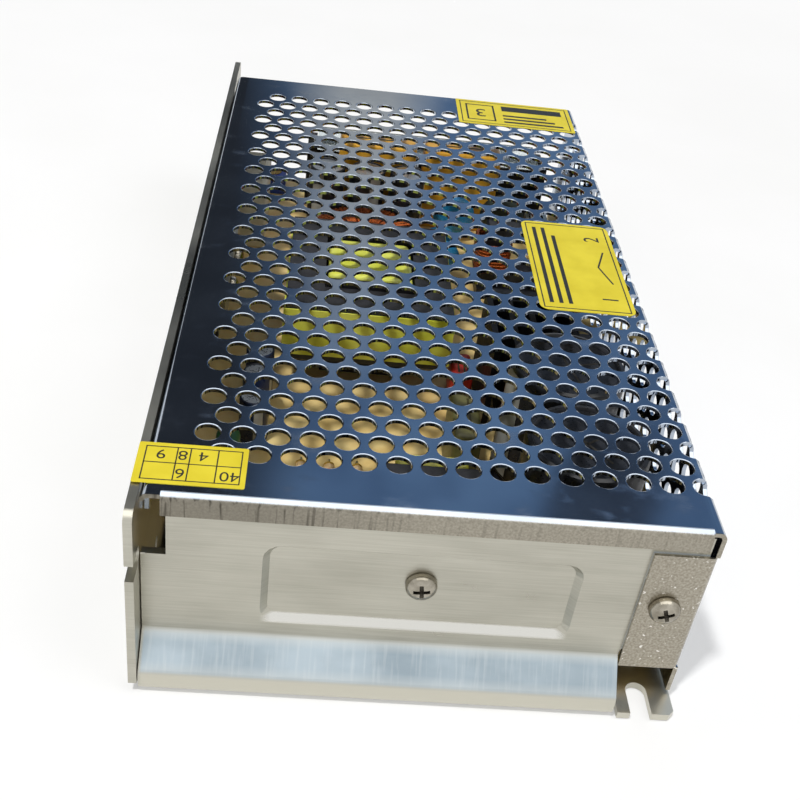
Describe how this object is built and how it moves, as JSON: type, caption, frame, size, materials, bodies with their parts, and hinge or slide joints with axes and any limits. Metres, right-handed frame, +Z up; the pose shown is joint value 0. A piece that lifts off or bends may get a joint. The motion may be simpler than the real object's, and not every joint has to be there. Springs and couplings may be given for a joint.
{
  "type": "led power supply",
  "caption": "Enclosed flat switching power supply for lamp strips: folded aluminium chassis, bright perforated cover, screw terminals under a clear lid.",
  "frame": {"origin": "middle of the underside of the case", "axes": "+Z up out of the perforated top, +Y along the length towards the screw terminals, +X towards the perforated side wall"},
  "size_m": [0.099, 0.199, 0.042],
  "materials": {
    "brushed_sheet": "satin",
    "plated_sheet": "bright",
    "nickel": "bright",
    "tan_board": "satin",
    "clear_film": "satin",
    "black_plastic": "matte",
    "clear_plastic": "gloss",
    "red_plastic": "gloss",
    "blue_plastic": "gloss",
    "brass": "satin",
    "green_lens": "gloss",
    "black_sleeve": "gloss",
    "yellow_box": "gloss",
    "ferrite": "matte",
    "copper_wire": "gloss",
    "yellow_tape": "gloss",
    "blue_disc": "gloss",
    "black_disc": "satin",
    "fuse_glass": "gloss",
    "black_sink": "matte",
    "grey_pad": "matte",
    "white_ceramic": "matte",
    "olive_box": "satin",
    "tan_resistor": "satin",
    "yellow_label": "satin"
  },
  "bodies": {
    "supply": {"board_pillars": "nickel", "bridge_rectifier": "black_plastic", "bulk_capacitor_far": "black_sleeve", "bulk_capacitor_near": "black_sleeve", "cement_resistor": "white_ceramic", "chassis": "brushed_sheet", "choke_ring": "ferrite", "choke_winding": "copper_wire", "circuit_board": "tan_board", "control_chip": "black_plastic", "cover": "plated_sheet", "date_label": "yellow_label", "driver_core": "ferrite", "driver_winding": "yellow_tape", "end_clamp_bar": "nickel", "filter_base": "black_plastic", "filter_coils": "copper_wire", "filter_core": "ferrite", "fuse": "fuse_glass", "fuse_clips": "nickel", "green_capacitor": "green_lens", "heatsink": "black_sink", "insulating_film": "clear_film", "output_capacitors": "black_sleeve", "output_rectifiers": "black_plastic", "pan_head_screws": "nickel", "power_lamp": "green_lens", "power_transistors": "black_plastic", "rear_label": "yellow_label", "red_capacitor": "red_plastic", "resistors": "tan_resistor", "selector_body": "black_plastic", "selector_label": "yellow_label", "side_screws": "nickel", "small_capacitors": "black_sleeve", "snubber_capacitor": "olive_box", "terminal_block": "black_plastic", "terminal_plates": "nickel", "terminal_screws": "nickel", "thermal_pads": "grey_pad", "thermistor": "black_disc", "transformer_bobbin": "black_plastic", "transformer_core_far": "ferrite", "transformer_core_near": "ferrite", "transformer_strap": "yellow_tape", "transformer_winding": "yellow_tape", "trimmer_body": "blue_plastic", "varistor": "blue_disc", "wall_clamp_bar": "nickel", "x_capacitor_left": "yellow_box", "x_capacitor_right": "yellow_box", "y_capacitors": "blue_disc"},
    "lid": {"terminal_lid": "clear_plastic"},
    "slider": {"selector_slider": "red_plastic"},
    "rotor": {"trimmer_rotor": "brass"}
  },
  "joints": [
    {"name": "lid_hinge", "type": "hinge", "parent": "supply", "child": "lid", "pos_m": [0.00934, 0.0863, 0.0237], "axis": [1, 0, 0], "range_deg": [0, 105]},
    {"name": "selector_slide", "type": "slide", "parent": "supply", "child": "slider", "axis": [0, 1, 0], "range_m": [0, 0.005]},
    {"name": "trimmer_turn", "type": "hinge", "parent": "supply", "child": "rotor", "pos_m": [-0.0365, 0.0894, 0.0066], "axis": [0, 0, 1], "range_deg": [-130, 130]}
  ]
}
